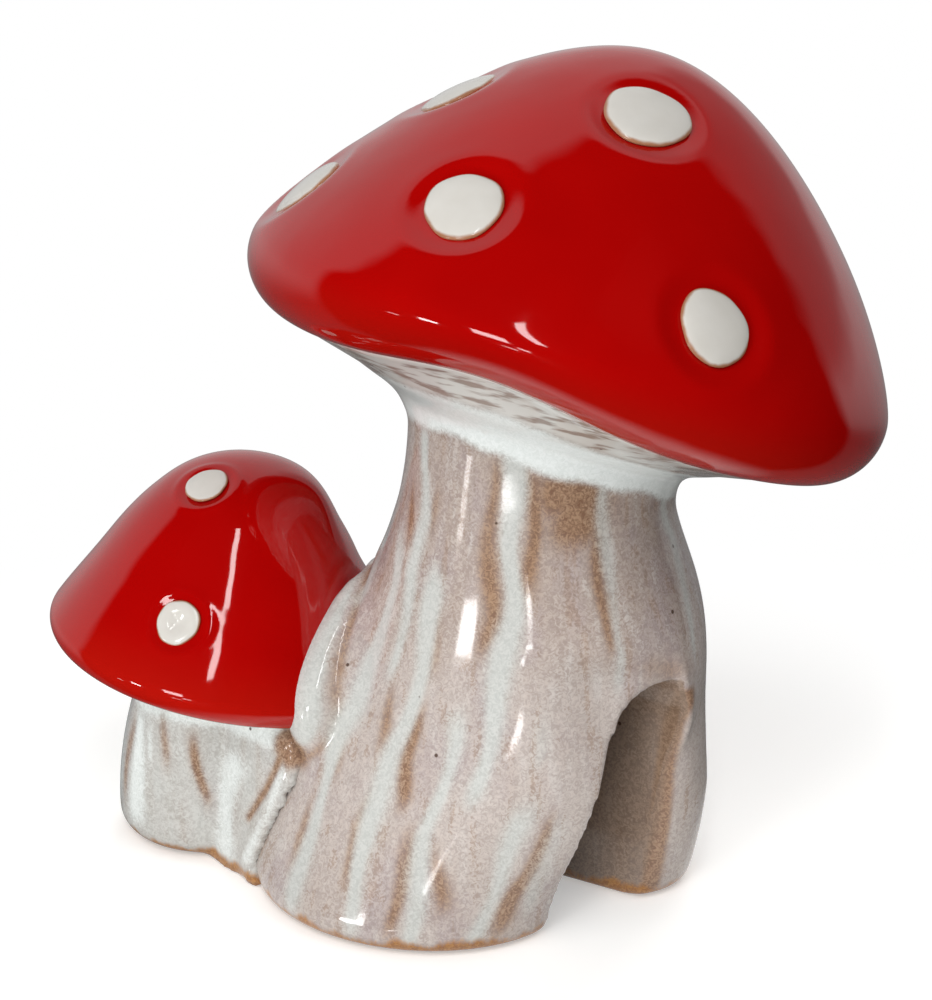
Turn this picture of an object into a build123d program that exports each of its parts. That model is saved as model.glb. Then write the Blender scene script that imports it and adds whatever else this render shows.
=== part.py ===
import os
from math import cos, radians, sin
from typing import NamedTuple

from build123d import *

# Sizes are in millimetres and degrees. The slot runs along X, -Y is the front and Z=0 is the foot.

# Large cap: a dome on a rim plane that leans by a tilt towards a heading
LARGE_CAP_RADIUS = 36.0
LARGE_CAP_HEIGHT = 39.0
LARGE_LIP_RADIUS = 7.0
LARGE_FLANK_ANGLE = 8.0
LARGE_CROWN_REACH = 16.5
LARGE_FLANK_REACH = 5.5
LARGE_RIM_X = 3.5
LARGE_RIM_Y = 10.15
LARGE_RIM_HEIGHT = 55.8
LARGE_TILT = 22.0
LARGE_HEADING = 69.0

# Small cap
SMALL_CAP_RADIUS = 20.5
SMALL_CAP_HEIGHT = 24.2
SMALL_LIP_RADIUS = 2.4
SMALL_FLANK_ANGLE = 23.0
SMALL_CROWN_REACH = 11.3
SMALL_FLANK_REACH = 11.2
SMALL_RIM_X = -31.2
SMALL_RIM_Y = -2.65
SMALL_RIM_HEIGHT = 21.2
SMALL_TILT = 11.0
SMALL_HEADING = 40.0

# Cast walls, the heads that close the caps from below, and the vents that let a kiln's heat out
CAST_WALL = 4.0
HEAD_THICKNESS = 4.0
SEAT_LEDGE = 3.0
FLARE_BITE = 1.5
VENT_DIAMETER = 6.0

# Large stem: outlines at four levels, then the neck below the large rim
FOOT_X = -5.0
FOOT_Y = -4.55
FOOT_HALF_WIDTH = 19.0
FOOT_HALF_DEPTH = 17.0
ANKLE_HEIGHT = 12.0
ANKLE_X = -1.6
ANKLE_Y = 0.15
ANKLE_HALF_WIDTH = 21.0
ANKLE_HALF_DEPTH = 17.5
KNEE_HEIGHT = 24.0
KNEE_X = 2.3
KNEE_Y = 4.65
KNEE_HALF_WIDTH = 22.3
KNEE_HALF_DEPTH = 18.0
WAIST_HEIGHT = 38.0
WAIST_X = 4.2
WAIST_Y = 6.45
WAIST_HALF_WIDTH = 17.8
WAIST_HALF_DEPTH = 16.0
NECK_SHIFT = 1.2
NECK_RADIUS = 16.2
NECK_DROP = 3.0
FLARE_DROP = 5.5
THROAT_RADIUS = 10.0

# Rear leg behind the slot, whose top is buried in the body between knee and waist
LEG_X = 0.2
LEG_Y = 11.15
LEG_HALF_WIDTH = 20.2
LEG_HALF_DEPTH = 12.0
LEG_CALF_HEIGHT = 16.0
LEG_CALF_X = 1.6
LEG_CALF_Y = 10.3
LEG_CALF_SWELL = 1.6
LEG_TOP_HEIGHT = 32.0
LEG_TOP_X = 3.2
LEG_TOP_Y = 8.65
LEG_TOP_NARROWING = 1.4

# Slot for a pot rim, centred on the X axis and open at both ends
SLOT_WIDTH = 11.7
SLOT_HEIGHT = 29.0

# Small stem and the root web that joins it to the large stem, up to a gap below the small cap
SMALL_FOOT_X = -33.4
SMALL_FOOT_Y = -2.95
SMALL_STEM_RADIUS = 10.4
SMALL_BELLY_HEIGHT = 8.0
SMALL_NECK_RADIUS = 9.2
SMALL_NECK_DROP = 2.5
SMALL_FLARE_DROP = 5.0
WEB_X = -24.0
WEB_Y = -8.35
WEB_TURN = -20.0
WEB_HALF_LENGTH = 10.0
WEB_HALF_THICKNESS = 4.0
WEB_TOP_HALF_THICKNESS = 2.5
WEB_GAP = 2.7

# Lobe of slip pressed into the front of the joint between the small cap and the large stem
LOBE_X = -12.8
LOBE_FOOT_Y = -10.4
LOBE_FOOT_HEIGHT = 16.5
LOBE_FOOT_RADIUS = 2.6
LOBE_BELLY_Y = -10.6
LOBE_BELLY_HEIGHT = 22.0
LOBE_BELLY_RADIUS = 3.6
LOBE_FLANK_Y = -5.8
LOBE_FLANK_HEIGHT = 30.0
LOBE_FLANK_RADIUS = 3.2
LOBE_TIP_Y = -1.0
LOBE_TIP_HEIGHT = 35.0
LOBE_TIP_RADIUS = 1.2

# Rounding of the foot edges
FOOT_ROUND = 2.0
SMALL_FOOT_ROUND = 3.0

# White dots: places are the share of the outline from apex to lip, and the turn about the cap's axis
LARGE_DOT_RADIUS = 4.6
SMALL_DOT_RADIUS = 2.5
DOT_MOAT = 0.7
DOT_SEAT_DEPTH = 0.9
DOT_SHOULDER = 0.4
DOT_CROWN = 1.2
LARGE_DOT_PLACES = [
    (0.34, -58),
    (0.74, -91),
    (0.84, -36),
    (0.85, -142),
    (0.46, -143),
    (0.70, 52),
    (0.40, 70),
    (0.78, 92),
    (0.66, 150),
]
SMALL_DOT_PLACES = [
    (0.26, -106),
    (0.77, -79),
    (0.66, 175),
    (0.74, 118),
    (0.36, 98),
]


class Cap(NamedTuple):
    """Sizes of one cap and of the neck below it, measured from the cap's rim plane."""

    radius: float
    height: float
    lip: float
    lean: float
    crown_reach: float
    flank_reach: float
    neck_radius: float
    flare_drop: float

    @property
    def seat_radius(self):
        """Radius of the head that the lip is luted round."""
        return self.radius - self.lip


LARGE = Cap(
    LARGE_CAP_RADIUS,
    LARGE_CAP_HEIGHT,
    LARGE_LIP_RADIUS,
    LARGE_FLANK_ANGLE,
    LARGE_CROWN_REACH,
    LARGE_FLANK_REACH,
    NECK_RADIUS,
    FLARE_DROP,
)
SMALL = Cap(
    SMALL_CAP_RADIUS,
    SMALL_CAP_HEIGHT,
    SMALL_LIP_RADIUS,
    SMALL_FLANK_ANGLE,
    SMALL_CROWN_REACH,
    SMALL_FLANK_REACH,
    SMALL_NECK_RADIUS,
    SMALL_FLARE_DROP,
)


def leaning_plane(x, y, height, tilt, heading):
    """Rim plane whose Z axis leans by tilt towards heading, with its X axis kept near the world's."""
    turn = radians(heading)
    lean = radians(tilt)
    axis = Vector(sin(lean) * cos(turn), sin(lean) * sin(turn), cos(lean))
    across = Vector(1, 0, 0) - axis * axis.X
    return Plane((x, y, height), x_dir=across, z_dir=axis)


def side_plane(plane):
    """Plane through the Z axis of another plane, with that axis as its Y direction."""
    return Plane(plane.origin, x_dir=plane.x_dir, z_dir=-plane.y_dir)


def axis_of(plane):
    return Axis(plane.origin, plane.z_dir)


LARGE_RIM = leaning_plane(LARGE_RIM_X, LARGE_RIM_Y, LARGE_RIM_HEIGHT, LARGE_TILT, LARGE_HEADING)
SMALL_RIM = leaning_plane(SMALL_RIM_X, SMALL_RIM_Y, SMALL_RIM_HEIGHT, SMALL_TILT, SMALL_HEADING)


def crown_curve(cap, inset):
    """Dome outline from the apex to the shoulder above the lip, moved inwards by inset."""
    lean = radians(cap.lean)
    outwards = Vector(cos(lean), sin(lean))
    upwards = Vector(-sin(lean), cos(lean))
    shoulder = Vector(cap.seat_radius, cap.lip) + outwards * (cap.lip - inset)
    apex = Vector(0, cap.height - inset)
    return Bezier(apex, apex + Vector(cap.crown_reach, 0), shoulder + upwards * cap.flank_reach, shoulder)


def cap_dome(cap, rim):
    """Solid dome with a rolled lip, stepped below to sit round and on the stem's head."""
    seat = cap.seat_radius
    with BuildPart() as dome:
        with BuildSketch(side_plane(rim)):
            with BuildLine():
                crown = crown_curve(cap, 0)
                CenterArc((seat, cap.lip), cap.lip, cap.lean, -90 - cap.lean)
                Polyline((seat, 0), (seat, HEAD_THICKNESS), (0, HEAD_THICKNESS), crown @ 0)
            make_face()
        revolve(axis=axis_of(rim))
    return dome.part


def cap_hollow(cap, rim):
    """Space inside a cap, from the ledge that rests on the head up to a wall below the crown."""
    with BuildPart() as hollow:
        with BuildSketch(side_plane(rim)):
            with BuildLine():
                crown = crown_curve(cap, CAST_WALL)
                Polyline(
                    crown @ 1,
                    (cap.seat_radius - SEAT_LEDGE, HEAD_THICKNESS),
                    (0, HEAD_THICKNESS),
                    crown @ 0,
                )
            make_face()
        revolve(axis=axis_of(rim))
    return hollow.part


def head_disc(cap, rim):
    """Flared top of a stem: steep where it leaves the neck, then shallow out to the lip's seat."""
    seat = cap.seat_radius
    root = cap.neck_radius - FLARE_BITE
    drop = cap.flare_drop
    steep = (root + drop / 4, -drop / 2)
    shallow = ((cap.neck_radius + seat) / 2, -drop / 3)
    with BuildPart() as head:
        with BuildSketch(side_plane(rim)):
            with BuildLine():
                Line((0, -drop), (root, -drop))
                Bezier((root, -drop), steep, shallow, (seat, 0))
                Polyline((seat, 0), (seat, HEAD_THICKNESS), (0, HEAD_THICKNESS), (0, -drop))
            make_face()
        revolve(axis=axis_of(rim))
    return head.part


def lofted(ovals, growth, foot_round):
    """Smooth form through ovals given as plane, centre and half sizes, all grown by growth."""
    with BuildPart() as form:
        for plane, x, y, half_width, half_depth in ovals:
            with BuildSketch(plane):
                with Locations((x, y)):
                    Ellipse(half_width + growth, half_depth + growth)
        loft()
        if foot_round:
            fillet(form.edges().sort_by(Axis.Z)[0], radius=foot_round)
    return form.part


def large_trunk(growth, foot_round=0):
    """Body and rear leg of the large stem, grown outwards and downwards by growth."""
    floor = Plane.XY.offset(-growth)
    body = lofted(
        [
            (floor, FOOT_X, FOOT_Y, FOOT_HALF_WIDTH, FOOT_HALF_DEPTH),
            (Plane.XY.offset(ANKLE_HEIGHT), ANKLE_X, ANKLE_Y, ANKLE_HALF_WIDTH, ANKLE_HALF_DEPTH),
            (Plane.XY.offset(KNEE_HEIGHT), KNEE_X, KNEE_Y, KNEE_HALF_WIDTH, KNEE_HALF_DEPTH),
            (Plane.XY.offset(WAIST_HEIGHT), WAIST_X, WAIST_Y, WAIST_HALF_WIDTH, WAIST_HALF_DEPTH),
            (LARGE_RIM.offset(-NECK_DROP), NECK_SHIFT, 0, NECK_RADIUS, NECK_RADIUS),
        ],
        growth,
        foot_round,
    )
    leg_calf = Plane.XY.offset(LEG_CALF_HEIGHT)
    leg_top = Plane.XY.offset(LEG_TOP_HEIGHT)
    leg = lofted(
        [
            (floor, LEG_X, LEG_Y, LEG_HALF_WIDTH, LEG_HALF_DEPTH),
            (leg_calf, LEG_CALF_X, LEG_CALF_Y, LEG_HALF_WIDTH + LEG_CALF_SWELL, LEG_HALF_DEPTH),
            (leg_top, LEG_TOP_X, LEG_TOP_Y, LEG_HALF_WIDTH - LEG_TOP_NARROWING, LEG_HALF_DEPTH),
        ],
        growth,
        foot_round,
    )
    return body + leg


def joint_lobe(growth):
    """Leaning roll of slip along the small cap's joint, grown outwards by growth."""
    return lofted(
        [
            (Plane.XY.offset(LOBE_FOOT_HEIGHT), LOBE_X, LOBE_FOOT_Y, LOBE_FOOT_RADIUS, LOBE_FOOT_RADIUS),
            (Plane.XY.offset(LOBE_BELLY_HEIGHT), LOBE_X, LOBE_BELLY_Y, LOBE_BELLY_RADIUS, LOBE_BELLY_RADIUS),
            (Plane.XY.offset(LOBE_FLANK_HEIGHT), LOBE_X, LOBE_FLANK_Y, LOBE_FLANK_RADIUS, LOBE_FLANK_RADIUS),
            (Plane.XY.offset(LOBE_TIP_HEIGHT), LOBE_X, LOBE_TIP_Y, LOBE_TIP_RADIUS, LOBE_TIP_RADIUS),
        ],
        growth,
        0,
    )


def slot_form(growth):
    """Arched prism of the slot, longer than the stem is wide, grown by growth."""
    half = SLOT_WIDTH / 2 + growth
    reach = FOOT_HALF_WIDTH + KNEE_HALF_WIDTH + CAST_WALL
    with BuildPart() as slot:
        with BuildSketch(Plane.YZ):
            with Locations((0, SLOT_HEIGHT - SLOT_WIDTH / 2)):
                Circle(half)
                Rectangle(2 * half, SLOT_HEIGHT, align=(Align.CENTER, Align.MAX))
        extrude(amount=reach, both=True)
    return slot.part


def vent(x, y, height):
    """Round hole up from the foot."""
    with BuildPart() as hole:
        with BuildSketch():
            with Locations((x, y)):
                Circle(VENT_DIAMETER / 2)
        extrude(amount=height)
    return hole.part


# Outer form of the large stem, before the slot and the hollow
with BuildPart() as trunk:
    add(large_trunk(0, FOOT_ROUND))
    add(head_disc(LARGE, LARGE_RIM))
    add(joint_lobe(0))

# Large stem: cast hollow, open at the top into the cap, with its vent under the rear leg
with BuildPart() as hollow:
    add(large_trunk(-CAST_WALL))
    add(slot_form(CAST_WALL), mode=Mode.SUBTRACT)
    with BuildSketch(LARGE_RIM.offset(-FLARE_DROP)):
        Circle(THROAT_RADIUS)
    extrude(amount=FLARE_DROP + HEAD_THICKNESS)

with BuildPart() as large_stem:
    add(trunk.part)
    add(slot_form(0), mode=Mode.SUBTRACT)
    add(hollow.part, mode=Mode.SUBTRACT)
    add(vent(LEG_X, LEG_Y + CAST_WALL / 2, ANKLE_HEIGHT), mode=Mode.SUBTRACT)
large_stem.part.label = "large_stem"


def small_trunk():
    """Small stem and its root web, before the large stem is cut away from them."""
    belly = Plane.XY.offset(SMALL_BELLY_HEIGHT)
    neck = SMALL_RIM.offset(-SMALL_NECK_DROP)
    stem = lofted(
        [
            (Plane.XY, SMALL_FOOT_X, SMALL_FOOT_Y, SMALL_STEM_RADIUS, SMALL_STEM_RADIUS),
            (belly, SMALL_FOOT_X, SMALL_FOOT_Y, SMALL_STEM_RADIUS, SMALL_STEM_RADIUS),
            (neck, 0, 0, SMALL_NECK_RADIUS, SMALL_NECK_RADIUS),
        ],
        0,
        SMALL_FOOT_ROUND,
    )
    web_foot = Plane((WEB_X, WEB_Y, 0)).rotated((0, 0, WEB_TURN))
    web_top = web_foot.offset(SMALL_RIM_HEIGHT - WEB_GAP)
    web = lofted(
        [
            (web_foot, 0, 0, WEB_HALF_LENGTH, WEB_HALF_THICKNESS),
            (web_top, 0, 0, WEB_HALF_LENGTH, WEB_TOP_HALF_THICKNESS),
        ],
        0,
        0,
    )
    return stem + web


# Small stem: solid but for its vent into the cap, and trimmed to the flank of the large stem
with BuildPart() as small_stem:
    add(small_trunk())
    add(head_disc(SMALL, SMALL_RIM))
    add(trunk.part, mode=Mode.SUBTRACT)
    add(vent(SMALL_FOOT_X, SMALL_FOOT_Y, SMALL_RIM_HEIGHT + 2 * HEAD_THICKNESS), mode=Mode.SUBTRACT)
small_stem.part.label = "small_stem"


def dot_seats(cap, rim, places):
    """Planes that touch the dome at the dots' places, with Z along the dome's normal."""
    outline = crown_curve(cap, 0)
    seats = []
    for share, turn in places:
        spot = outline @ share
        slope = outline % share
        outwards = rim.x_dir * cos(radians(turn)) + rim.y_dir * sin(radians(turn))
        centre = rim.origin + outwards * spot.X + rim.z_dir * spot.Y
        normal = rim.z_dir * slope.X - outwards * slope.Y
        seats.append(Plane(centre, z_dir=normal))
    return seats


def dot_pocket(seat, radius):
    """Pressed seat of a dot: a flat floor with a moat's width to spare round the button."""
    with BuildPart() as pocket:
        with BuildSketch(seat.offset(-DOT_SEAT_DEPTH)):
            Circle(radius + DOT_MOAT)
        extrude(amount=DOT_SEAT_DEPTH + DOT_CROWN)
    return pocket.part


def dot_button(seat, radius):
    """White button: flat below, with a low shoulder and a domed top."""
    floor = seat.offset(-DOT_SEAT_DEPTH)
    with BuildPart() as button:
        with BuildSketch(side_plane(floor)):
            with BuildLine():
                Polyline((0, DOT_CROWN), (0, 0), (radius, 0), (radius, DOT_SHOULDER))
                TangentArc((0, DOT_CROWN), (radius, DOT_SHOULDER), tangent=(1, 0))
            make_face()
        revolve(axis=axis_of(floor))
    return button.part


LARGE_SEATS = dot_seats(LARGE, LARGE_RIM, LARGE_DOT_PLACES)
SMALL_SEATS = dot_seats(SMALL, SMALL_RIM, SMALL_DOT_PLACES)

# Large cap: a hollow shell with a pocket for each dot
with BuildPart() as large_cap:
    add(cap_dome(LARGE, LARGE_RIM))
    add(cap_hollow(LARGE, LARGE_RIM), mode=Mode.SUBTRACT)
    for place in LARGE_SEATS:
        add(dot_pocket(place, LARGE_DOT_RADIUS), mode=Mode.SUBTRACT)
large_cap.part.label = "large_cap"

# Small cap: hollow up to a wall from the large stem, and trimmed to that stem's flank
with BuildPart() as small_hollow:
    add(cap_hollow(SMALL, SMALL_RIM))
    add(large_trunk(CAST_WALL), mode=Mode.SUBTRACT)
    add(joint_lobe(CAST_WALL), mode=Mode.SUBTRACT)

with BuildPart() as small_cap:
    add(cap_dome(SMALL, SMALL_RIM))
    add(small_hollow.part, mode=Mode.SUBTRACT)
    add(trunk.part, mode=Mode.SUBTRACT)
    for place in SMALL_SEATS:
        add(dot_pocket(place, SMALL_DOT_RADIUS), mode=Mode.SUBTRACT)
small_cap.part.label = "small_cap"

# Every piece in its own file
os.makedirs("parts", exist_ok=True)
export_step(large_stem.part, "parts/large_stem.step")
export_step(large_cap.part, "parts/large_cap.step")
export_step(small_stem.part, "parts/small_stem.step")
export_step(small_cap.part, "parts/small_cap.step")

for family, seats, radius in (
    ("large_cap_dot", LARGE_SEATS, LARGE_DOT_RADIUS),
    ("small_cap_dot", SMALL_SEATS, SMALL_DOT_RADIUS),
):
    for number, place in enumerate(seats, start=1):
        dot = dot_button(place, radius)
        dot.label = f"{family}_{number}"
        export_step(dot, f"parts/{dot.label}.step")
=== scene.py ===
# %% [markdown]
# # A glazed toadstool pair
# The ornament is slip-cast ceramic: a large and a small mushroom pressed together while soft, with
# red glazed caps, white pressed dots and stems under a white glaze that breaks to tan. The solids
# from CAD give every size. This lesson dresses them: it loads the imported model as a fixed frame,
# then makes one finished piece for each node, in the same place.

# %% Load the frame
import math

import bpy
import numpy as np
from mathutils import Matrix, Vector
from mathutils.kdtree import KDTree


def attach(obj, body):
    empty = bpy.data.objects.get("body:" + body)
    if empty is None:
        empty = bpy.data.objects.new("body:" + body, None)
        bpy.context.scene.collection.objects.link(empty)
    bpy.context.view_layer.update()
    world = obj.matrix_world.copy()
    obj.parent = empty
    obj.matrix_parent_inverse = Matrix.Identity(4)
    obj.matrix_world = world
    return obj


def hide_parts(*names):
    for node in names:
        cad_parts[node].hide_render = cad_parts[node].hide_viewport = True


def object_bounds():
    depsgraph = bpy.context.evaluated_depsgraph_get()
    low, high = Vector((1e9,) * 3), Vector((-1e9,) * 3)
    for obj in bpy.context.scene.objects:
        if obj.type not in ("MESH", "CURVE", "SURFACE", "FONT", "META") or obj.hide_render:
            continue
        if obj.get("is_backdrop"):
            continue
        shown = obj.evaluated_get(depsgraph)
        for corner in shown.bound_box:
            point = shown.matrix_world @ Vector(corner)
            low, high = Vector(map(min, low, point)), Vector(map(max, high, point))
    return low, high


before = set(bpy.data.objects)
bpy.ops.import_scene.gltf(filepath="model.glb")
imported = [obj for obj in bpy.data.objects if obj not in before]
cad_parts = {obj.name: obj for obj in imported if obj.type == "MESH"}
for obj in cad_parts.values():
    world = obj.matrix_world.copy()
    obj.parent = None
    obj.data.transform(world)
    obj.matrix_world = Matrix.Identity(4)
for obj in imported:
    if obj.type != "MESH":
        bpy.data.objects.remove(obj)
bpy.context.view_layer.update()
MM = 0.001

# %% [markdown]
# ## Small helpers
# Operators act on whatever is selected, so one helper leaves a single piece selected and active.
# The next one adds a modifier and applies it at once, which keeps the finished meshes plain.
# Vertex places are read and written as arrays in millimetres, because the ornament's sizes are
# easier to say in those. Three curves shape soft changes: a step, a level stretch and a bell.

# %% Helpers for meshes
def pick(piece):
    """Leave one piece selected and active."""
    bpy.ops.object.select_all(action="DESELECT")
    piece.select_set(True)
    bpy.context.view_layer.objects.active = piece


def shape_by(piece, kind, **settings):
    """Add a modifier to a piece and apply it."""
    pick(piece)
    modifier = piece.modifiers.new(kind, kind)
    for name, value in settings.items():
        setattr(modifier, name, value)
    bpy.ops.object.modifier_apply(modifier=modifier.name)


def points_of(piece):
    """Vertex places in millimetres and vertex normals, one row each."""
    count = len(piece.data.vertices)
    places = np.empty(count * 3)
    piece.data.vertices.foreach_get("co", places)
    normals = np.empty(count * 3)
    piece.data.vertex_normals.foreach_get("vector", normals)
    return places.reshape(-1, 3) / MM, normals.reshape(-1, 3)


def move_points(piece, places):
    piece.data.vertices.foreach_set("co", (places * MM).ravel())
    piece.data.update()


def paint(piece, name, values):
    """Keep a number for each vertex, which a material can read by its name."""
    piece.data.attributes.new(name, "FLOAT", "POINT").data.foreach_set("value", values)


def ease(low, high, values):
    """Smooth step from 0 at low to 1 at high."""
    share = np.clip((values - low) / (high - low), 0, 1)
    return share * share * (3 - 2 * share)


def between(rise, full, fade, end, values):
    """Smooth step up from rise to full, level, then a smooth step down from fade to end."""
    return ease(rise, full, values) * (1 - ease(fade, end, values))


def bell(values, spread):
    """Bell curve: 1 at zero, and about a third at the spread."""
    return np.exp(-((values / spread) ** 2))


def stand_for(piece, node):
    """Shade a finished piece smooth, tie it to the body and hide the node it replaces."""
    pick(piece)
    bpy.ops.object.shade_smooth()
    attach(piece, "root")
    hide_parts(node)
    print(piece.name, "stands for", node, "with", len(piece.data.polygons), "faces")


print("CAD nodes to dress:", len(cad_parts))

# %% [markdown]
# ## The two rim planes
# Each cap is a turned form that was set down askew, so its lip lies in a leaning plane. A matrix
# for each plane turns sizes measured on an upright cap into places on the ornament.

# %% Rim planes
def leaning_plane(place, tilt, heading):
    """Matrix of a plane whose Z axis leans by tilt towards heading, in millimetres."""
    lean = math.radians(tilt)
    turn = math.radians(heading)
    aside = math.sin(lean)
    axis = Vector((aside * math.cos(turn), aside * math.sin(turn), math.cos(lean)))
    across = (Vector((1, 0, 0)) - axis * axis.x).normalized()
    columns = Matrix((across, axis.cross(across), axis)).transposed()
    return Matrix.Translation(Vector(place)) @ columns.to_4x4()


LARGE_RIM = leaning_plane((3.5, 10.15, 55.8), tilt=22, heading=69)
SMALL_RIM = leaning_plane((-31.2, -2.65, 21.2), tilt=11, heading=40)


def on_plane(places, plane):
    """Places seen from a plane: across, along and above it."""
    back = np.array(plane.inverted())
    return places @ back[:3, :3].T + back[:3, 3]


def off_plane(places, plane):
    there = np.array(plane)
    return places @ there[:3, :3].T + there[:3, 3]


for name, plane in (("large", LARGE_RIM), ("small", SMALL_RIM)):
    print(name, "rim plane faces", [round(share, 2) for share in plane.to_3x3().col[2]])

# %% [markdown]
# ## Where the white dots sit
# Nine dots are pressed into the large cap and five into the small one. Each has a flat node in the
# frame already. The thinnest direction of that node's points is the way it faces, which is all
# that is needed to press a dish into the cap and to set a button in it.

# %% Read the seats
DOT_PROUD = 0.3


def seat_of(node, rim):
    """Place on the cap's surface under a dot's top, and the way the dot faces."""
    places = np.unique(points_of(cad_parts[node])[0].round(4), axis=0)
    heart = places.mean(0)
    axes = np.linalg.svd(places - heart, full_matrices=False)[2]
    axes[2] *= np.sign(axes[2] @ (heart - np.array(rim.translation)))
    spread = (places - heart) @ axes.T
    middle = (spread.min(0) + spread.max(0)) / 2
    middle[2] = spread[:, 2].max() - DOT_PROUD
    return heart + middle @ axes, axes[2]


LARGE_SEATS = [seat_of(f"large_cap_dot_{n}", LARGE_RIM) for n in range(1, 10)]
SMALL_SEATS = [seat_of(f"small_cap_dot_{n}", SMALL_RIM) for n in range(1, 6)]
print("seats:", len(LARGE_SEATS), "on the large cap and", len(SMALL_SEATS), "on the small one")

# %% [markdown]
# ## Caps
# A cap starts as a turned dome. Its outline is one curve through three points: apex, shoulder and
# the bottom of the lip. Turned into a mesh and spun about the axis it gives an even, smooth
# surface, which a glossy glaze needs: a remeshed copy of the solid would show every facet in its
# reflections.

# %% Turn a cap
TURN_STEPS = 384
OUTLINE_STEPS = 80
HEAD_THICKNESS = 4.0
MERGE_GAP = 0.01


def turned_cap(name, rim, radius, height, lip, flank_angle, crown_reach, flank_reach):
    """Spin a cap's outline about its axis and set it on its rim plane."""
    seat = radius - lip
    slope = math.radians(flank_angle)
    up = Vector((-math.sin(slope), 0, math.cos(slope)))
    shoulder = Vector((seat + lip * math.cos(slope), 0, lip + lip * math.sin(slope)))
    # Handles of this length make the curve follow a round lip
    arc_reach = lip * 4 / 3 * math.tan((math.pi / 2 + slope) / 4)
    bpy.ops.object.select_all(action="DESELECT")
    bpy.ops.curve.primitive_bezier_curve_add()
    piece = bpy.context.object
    piece.name = name
    piece.data.dimensions = "3D"
    piece.data.resolution_u = OUTLINE_STEPS
    spline = piece.data.splines[0]
    spline.bezier_points.add(1)
    apex = Vector((0, 0, height))
    bottom = Vector((seat, 0, 0))
    handles = (
        (apex - Vector((crown_reach, 0, 0)), apex, apex + Vector((crown_reach, 0, 0))),
        (shoulder + up * flank_reach, shoulder, shoulder - up * arc_reach),
        (bottom + Vector((arc_reach, 0, 0)), bottom, bottom - Vector((arc_reach, 0, 0))),
    )
    for point, (left, place, right) in zip(spline.bezier_points, handles):
        point.handle_left_type = point.handle_right_type = "FREE"
        point.handle_left, point.co, point.handle_right = left, place, right
    bpy.ops.object.convert(target="MESH")
    bpy.ops.object.mode_set(mode="EDIT")
    bpy.ops.mesh.select_all(action="DESELECT")
    bpy.ops.object.mode_set(mode="OBJECT")
    lowest = min(piece.data.vertices, key=lambda vertex: (vertex.co - bottom).length)
    lowest.select = True
    bpy.ops.object.mode_set(mode="EDIT")
    inwards = Vector((-lip / 2, 0, HEAD_THICKNESS / 2))
    bpy.ops.mesh.extrude_region_move(TRANSFORM_OT_translate={"value": inwards})
    to_axis = Vector((lip / 2 - seat, 0, HEAD_THICKNESS / 2))
    bpy.ops.mesh.extrude_region_move(TRANSFORM_OT_translate={"value": to_axis})
    bpy.ops.mesh.select_all(action="SELECT")
    bpy.ops.mesh.spin(steps=TURN_STEPS, angle=math.tau, center=(0, 0, 0), axis=(0, 0, 1))
    bpy.ops.mesh.select_all(action="SELECT")
    bpy.ops.mesh.remove_doubles(threshold=MERGE_GAP)
    bpy.ops.mesh.normals_make_consistent(inside=False)
    bpy.ops.object.mode_set(mode="OBJECT")
    places = points_of(piece)[0] * MM
    move_points(piece, off_plane(places, rim))
    return piece


large_cap = turned_cap(
    "large_toadstool_cap",
    LARGE_RIM,
    radius=36,
    height=39,
    lip=7,
    flank_angle=8,
    crown_reach=16.5,
    flank_reach=5.5,
)
print("large cap:", len(large_cap.data.vertices), "vertices")

# %% [markdown]
# The clay gave way a little where each dot was pressed in. Every point of the cap sinks by its
# distance from the dots' axes, so the surface dips in a soft dish under a dot and swells in a low
# ring round it.

# %% Dishes under the dots
DISH_UNDER_DOT = 0.4


def press_dishes(piece, seats, dot_radius, depth, reach, swell):
    """Sink the clay round each dot and let it swell in a low ring where the dish ends."""
    places, normals = points_of(piece)
    sink = np.zeros(len(places))
    for middle, facing in seats:
        offset = places - middle
        level = offset @ facing
        away = np.linalg.norm(offset - level[:, None] * facing, axis=1)
        dip = depth * (1 - ease(dot_radius - DISH_UNDER_DOT, dot_radius + reach, away))
        ring = swell * bell(away - dot_radius - reach, 0.5 * reach)
        sink += np.where(np.abs(level) < 2 * dot_radius, dip - ring, 0)
    move_points(piece, places - normals * sink[:, None])
    print(piece.name, "has", len(seats), "dishes, up to", round(float(sink.max()), 2), "mm deep")


print("dishes begin", DISH_UNDER_DOT, "mm inside a dot's edge")

# %% [markdown]
# Neither cap is a perfect turning. The large crown leans a little to the right, and the front of
# its lip was lifted by a few millimetres when it was pressed down on its stem. Both moves are
# small, so they are functions of a point's height above the rim and its turn about the axis, and
# the dots' seats move with the clay.

# %% Let the large cap slump
LIFT = 2.7
LIFT_TURN = -74
LIFT_SPREAD = 28
LIFT_HEIGHT = 11
CROWN_LEAN = np.array((0.55, 0.35, -0.2))


def lip_lift(level, turn):
    """How far the lip is lifted along the cap's axis, by height and turn about it."""
    return LIFT * (1 - ease(0, LIFT_HEIGHT, level)) * bell(turn - LIFT_TURN, LIFT_SPREAD)


def large_slump(places, inner=8.0, outer=26.0, lean=CROWN_LEAN):
    """Lift the front of the lip, fully from the outer radius on, and lean the crown."""
    seen = on_plane(places, LARGE_RIM)
    radius = np.hypot(seen[:, 0], seen[:, 1])
    turn = np.degrees(np.arctan2(seen[:, 1], seen[:, 0]))
    near_head = ease(-12, -4, seen[:, 2])
    lean_share = ease(4, 24, seen[:, 2])
    seen[:, 2] += lip_lift(seen[:, 2], turn) * ease(inner, outer, radius) * near_head
    return off_plane(seen, LARGE_RIM) + lean_share[:, None] * lean


def moved_seats(seats, slump):
    """Let seats rise or sink with the clay, without sliding over it."""
    moved = []
    for middle, facing in seats:
        move = slump(middle[None])[0] - middle
        moved.append((middle + facing * (facing @ move), facing))
    return moved


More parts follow.
